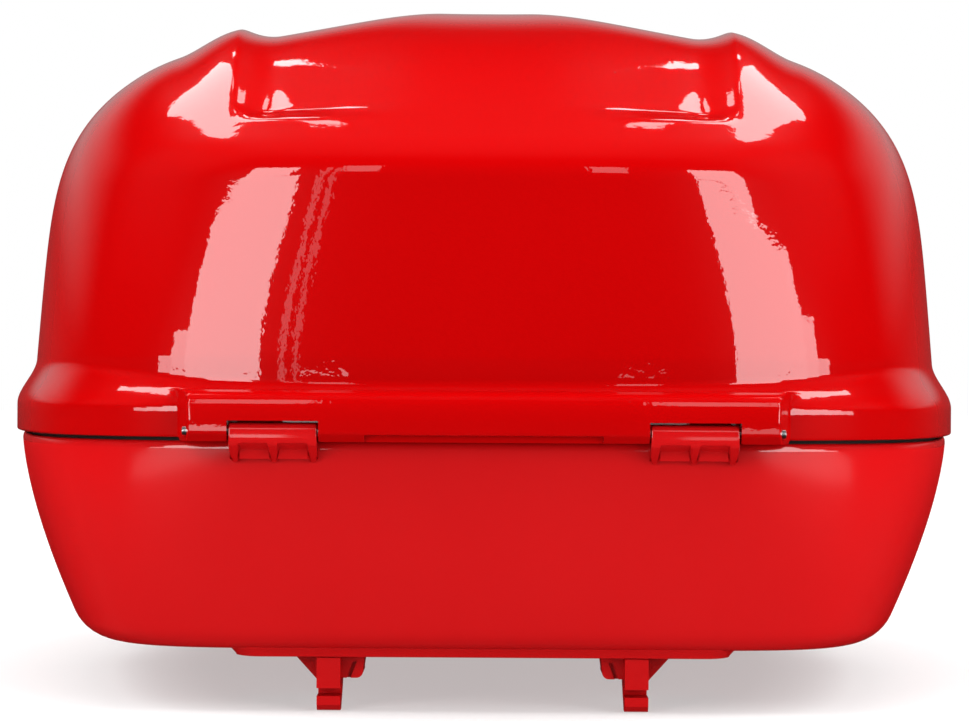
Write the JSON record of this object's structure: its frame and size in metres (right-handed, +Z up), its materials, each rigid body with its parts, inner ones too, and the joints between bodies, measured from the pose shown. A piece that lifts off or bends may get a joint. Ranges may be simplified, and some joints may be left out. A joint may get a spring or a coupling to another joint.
{
  "type": "motorcycle top case",
  "caption": "Hard lockable top case for a motorcycle's rear rack: glossy domed lid hinged on a tapered base, with rack hooks, a rear rack latch and a key lock.",
  "frame": {"origin": "centre of the plinth's flat underside, the face that rests on the rack plate", "axes": "+X to the right seen from the hinge side, +Y from the hinge side to the lock side, +Z up"},
  "size_m": [0.425, 0.4144, 0.2966],
  "materials": {
    "lid_paint": "high-gloss red lacquer on moulded plastic",
    "base_paint": "satin red paint on moulded plastic",
    "steel": "zinc-plated steel",
    "chrome": "polished chrome plate",
    "black_plastic": "fine-grained moulded black plastic",
    "rubber": "soft black rubber",
    "mat": "ribbed dark floor mat",
    "reflex": "transparent red prismatic lens"
  },
  "bodies": {
    "base": {"base_shell": "base_paint", "hinge_tongue_left": "base_paint", "hinge_tongue_right": "base_paint", "mount_hook_left": "base_paint", "mount_hook_right": "base_paint", "lock_housing": "black_plastic", "rack_latch_housing": "black_plastic", "lock_bezel": "chrome", "seat_pad_front_left": "rubber", "seat_pad_front_right": "rubber", "seat_pad_rear_left": "rubber", "seat_pad_rear_right": "rubber", "floor_mat": "mat", "hinge_nut_left_inner": "steel", "hinge_nut_left_outer": "steel", "hook_screw_left_1": "steel", "hook_screw_left_2": "steel", "latch_screw_left": "steel", "lock_screw_left": "steel", "hinge_nut_right_inner": "steel", "hinge_nut_right_outer": "steel", "hook_screw_right_1": "steel", "hook_screw_right_2": "steel", "latch_screw_right": "steel", "lock_screw_right": "steel", "rack_lever_pin": "steel", "rack_bolt_spring": "steel"},
    "lid": {"lid_shell": "lid_paint", "rim_gasket": "rubber", "hinge_pin_left": "steel", "hinge_pin_right": "steel", "striker": "steel", "striker_screw_left": "steel", "striker_screw_right": "steel", "rear_reflector_left": "reflex", "rear_reflector_right": "reflex"},
    "key_lock": {"key_barrel": "chrome", "lock_cam": "steel", "lock_cam_nut": "steel"},
    "rack_lever": {"rack_release_lever": "black_plastic"},
    "rack_bolt_slide": {"rack_bolt": "steel"}
  },
  "joints": [
    {"name": "lid_hinge", "type": "hinge", "parent": "base", "child": "lid", "pos_m": [0, -0.2045, 0.0893], "axis": [1, 0, 0], "range_deg": [0, 85]},
    {"name": "key_turn", "type": "hinge", "parent": "base", "child": "key_lock", "pos_m": [0, 0.19, 0.057], "axis": [0, 1, 0], "range_deg": [-90, 0]},
    {"name": "release_lever", "type": "hinge", "parent": "base", "child": "rack_lever", "pos_m": [0, 0.164, -0.0055], "axis": [1, 0, 0], "range_deg": [0, 30]},
    {"name": "bolt_travel", "type": "slide", "parent": "base", "child": "rack_bolt_slide", "axis": [0, 1, 0], "range_m": [0, 0.0052], "stiffness_N_per_m": 300, "springref_m": -0.002, "deforming": ["rack_bolt_spring"]}
  ],
  "couplings": [
    {"joint": "release_lever", "follows": "bolt_travel", "rad_per_m": 100}
  ]
}
